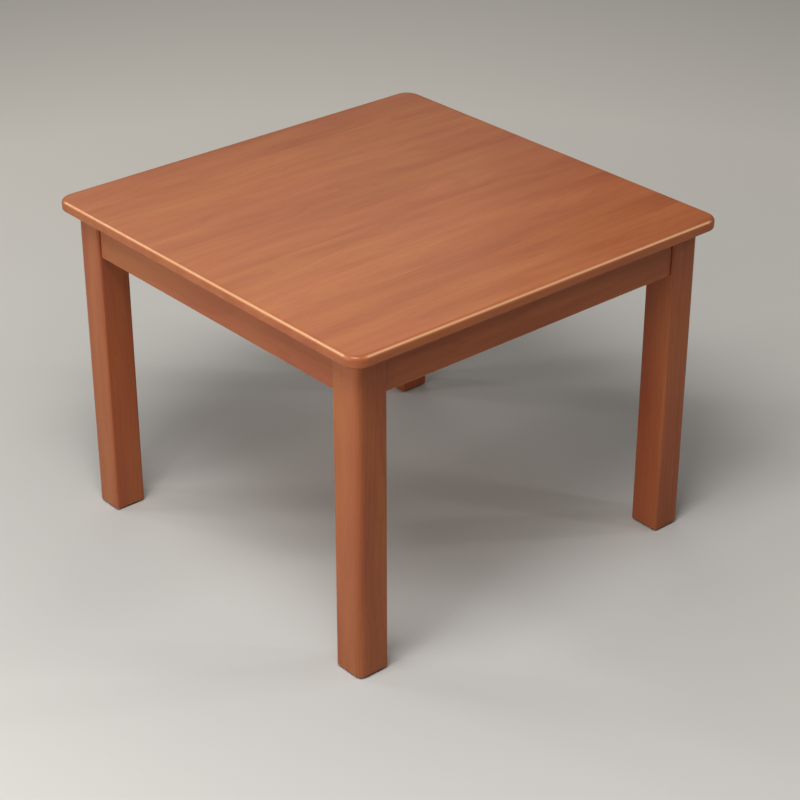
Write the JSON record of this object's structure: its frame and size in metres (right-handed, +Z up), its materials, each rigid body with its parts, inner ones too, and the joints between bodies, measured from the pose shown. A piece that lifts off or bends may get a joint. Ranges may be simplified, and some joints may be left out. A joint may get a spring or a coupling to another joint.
{
  "type": "square dining table",
  "caption": "Square dining table with a rounded-edge board top on straight square legs that bolt into the corners of an apron frame.",
  "frame": {"origin": "on the floor under the middle of the top", "axes": "+Z up, +X along the grain of the top, -Y the front"},
  "size_m": [1, 1, 0.75],
  "materials": {
    "top_wood": "reddish-brown stain under satin lacquer, grain along X",
    "leg_wood": "reddish-brown stain under satin lacquer, grain upright",
    "apron_wood": "reddish-brown stain under satin lacquer, grain along the length",
    "inner_wood": "planed and unstained",
    "dowel_wood": "plain beech",
    "zinc_steel": "bright zinc plate",
    "screw_steel": "yellow zinc plate",
    "glide_plastic": "brown moulded plastic"
  },
  "bodies": {
    "root": {"apron_back": "apron_wood", "apron_front": "apron_wood", "apron_left": "apron_wood", "apron_right": "apron_wood", "block_screws_back_left": "screw_steel", "block_screws_back_right": "screw_steel", "block_screws_front_left": "screw_steel", "block_screws_front_right": "screw_steel", "bolt_nuts_back_left": "zinc_steel", "bolt_nuts_back_right": "zinc_steel", "bolt_nuts_front_left": "zinc_steel", "bolt_nuts_front_right": "zinc_steel", "bolt_washers_back_left": "zinc_steel", "bolt_washers_back_right": "zinc_steel", "bolt_washers_front_left": "zinc_steel", "bolt_washers_front_right": "zinc_steel", "centre_rail": "inner_wood", "clip_screws_back": "screw_steel", "clip_screws_front": "screw_steel", "clip_screws_left": "screw_steel", "clip_screws_right": "screw_steel", "corner_block_back_left": "inner_wood", "corner_block_back_right": "inner_wood", "corner_block_front_left": "inner_wood", "corner_block_front_right": "inner_wood", "foot_glide_back_left": "glide_plastic", "foot_glide_back_right": "glide_plastic", "foot_glide_front_left": "glide_plastic", "foot_glide_front_right": "glide_plastic", "hanger_bolts_back_left": "zinc_steel", "hanger_bolts_back_right": "zinc_steel", "hanger_bolts_front_left": "zinc_steel", "hanger_bolts_front_right": "zinc_steel", "leg_back_left": "leg_wood", "leg_back_right": "leg_wood", "leg_front_left": "leg_wood", "leg_front_right": "leg_wood", "rail_dowels": "dowel_wood", "rail_screws": "screw_steel", "top_board_1": "top_wood", "top_board_2": "top_wood", "top_board_3": "top_wood", "top_board_4": "top_wood", "top_board_5": "top_wood", "top_board_6": "top_wood", "top_board_7": "top_wood", "top_board_8": "top_wood", "top_board_9": "top_wood", "top_clips_back": "zinc_steel", "top_clips_front": "zinc_steel", "top_clips_left": "zinc_steel", "top_clips_right": "zinc_steel"}
  },
  "joints": []
}
